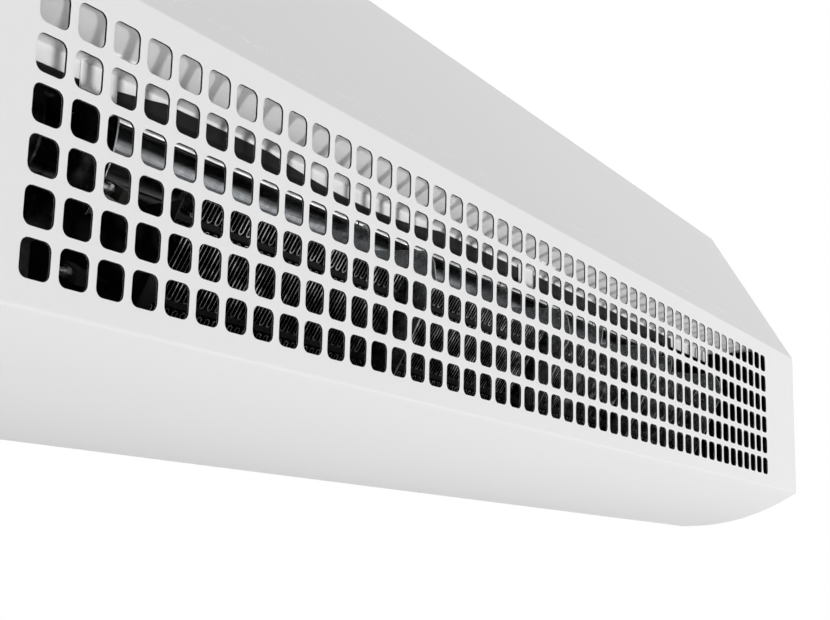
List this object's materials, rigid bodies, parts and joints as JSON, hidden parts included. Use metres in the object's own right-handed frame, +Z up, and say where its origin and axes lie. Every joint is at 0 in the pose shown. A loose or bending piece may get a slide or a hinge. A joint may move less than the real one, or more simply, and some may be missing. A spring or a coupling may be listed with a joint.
{
  "type": "air curtain",
  "caption": "Heated over-door air curtain: folded sheet casing with a square-hole front grille, cross-flow fans in scrolls, a folded-fin heater and an outlet with tilting vanes underneath.",
  "frame": {"origin": "on the wall, at the middle of the four wall screws", "axes": "+X along the casing to the right seen from the front, +Y out of the back into the wall, +Z up"},
  "size_m": [1.445, 0.28, 0.4055],
  "materials": {
    "white_paint": "satin",
    "galvanised_steel": "satin",
    "black_metal": "matte",
    "black_strip": "matte",
    "black_foam": "matte",
    "wheel_steel": "satin",
    "bright_steel": "polished",
    "heater_fin": "satin",
    "heater_bar": "satin",
    "cap_plastic": "matte",
    "anodised_aluminium": "satin",
    "terminal_plastic": "matte",
    "black_plastic": "matte",
    "circuit_board": "satin",
    "capacitor_can": "satin",
    "red_plastic": "gloss",
    "cable_jacket": "matte",
    "clip_plastic": "matte"
  },
  "bodies": {
    "root": {"front_cover": "white_paint", "hood_panel": "white_paint", "back_panel": "white_paint", "end_panel_left": "white_paint", "end_panel_right": "white_paint", "end_lining": "black_foam", "intake_shelf": "white_paint", "seal_strip": "black_strip", "shelf_brackets": "white_paint", "heater_bracket": "black_metal", "fan_plate_1": "galvanised_steel", "fan_plate_2": "galvanised_steel", "fan_plate_3": "galvanised_steel", "fan_plate_4": "galvanised_steel", "fan_plate_5": "galvanised_steel", "scroll_1": "galvanised_steel", "scroll_2": "galvanised_steel", "scroll_3": "galvanised_steel", "scroll_4": "galvanised_steel", "tongue_1": "galvanised_steel", "tongue_2": "galvanised_steel", "tongue_3": "galvanised_steel", "tongue_4": "galvanised_steel", "bearings": "bright_steel", "motor_left": "black_metal", "motor_right": "black_metal", "motor_bracket_left": "black_metal", "motor_bracket_right": "black_metal", "screws": "bright_steel", "heater_bars": "heater_bar", "fins_upper": "heater_fin", "fins_middle": "heater_fin", "fins_lower": "heater_fin", "bar_ends": "cap_plastic", "terminal_studs": "bright_steel", "outlet_frame": "anodised_aluminium", "electrics_tray": "galvanised_steel", "terminal_block": "terminal_plastic", "contactor": "black_plastic", "control_board": "circuit_board", "capacitors": "capacitor_can", "thermal_cutout": "black_plastic", "wiring_loom": "cable_jacket", "loom_clips": "clip_plastic", "cable_gland": "black_plastic", "wall_bracket_left": "galvanised_steel", "wall_bracket_right": "galvanised_steel", "ceiling_inserts": "bright_steel"},
    "rotor_left": {"wheel_1": "wheel_steel", "wheel_2": "wheel_steel", "link_shafts_left": "bright_steel", "motor_shaft_left": "bright_steel"},
    "rotor_right": {"wheel_3": "wheel_steel", "wheel_4": "wheel_steel", "link_shafts_right": "bright_steel", "motor_shaft_right": "bright_steel"},
    "vane_front": {"vane_front": "anodised_aluminium"},
    "vane_rear": {"vane_rear": "anodised_aluminium"},
    "vane_link": {"vane_link": "anodised_aluminium"},
    "reset_button": {"reset_button": "red_plastic"}
  },
  "joints": [
    {"name": "rotor_left_spin", "type": "hinge", "parent": "root", "child": "rotor_left", "pos_m": [-0.315, -0.108, -0.0485], "axis": [1, 0, 0], "continuous": true},
    {"name": "rotor_right_spin", "type": "hinge", "parent": "root", "child": "rotor_right", "pos_m": [0.281, -0.108, -0.0485], "axis": [1, 0, 0], "continuous": true},
    {"name": "vane_front_tilt", "type": "hinge", "parent": "root", "child": "vane_front", "pos_m": [0, -0.088, -0.2155], "axis": [1, 0, 0], "range_deg": [-25, 25]},
    {"name": "vane_rear_tilt", "type": "hinge", "parent": "root", "child": "vane_rear", "pos_m": [0, -0.062, -0.2155], "axis": [1, 0, 0], "range_deg": [-25, 25]},
    {"name": "vane_link_pivot", "type": "hinge", "parent": "vane_front", "child": "vane_link", "pos_m": [-0.4495, -0.088, -0.2085], "axis": [1, 0, 0], "range_deg": [-25, 25]},
    {"name": "reset_press", "type": "slide", "parent": "root", "child": "reset_button", "axis": [0, 1, 0], "range_m": [0, 0.0015], "stiffness_N_per_m": 400}
  ],
  "couplings": [
    {"joint": "vane_rear_tilt", "follows": "vane_front_tilt", "ratio": 1},
    {"joint": "vane_link_pivot", "follows": "vane_front_tilt", "ratio": -1}
  ]
}
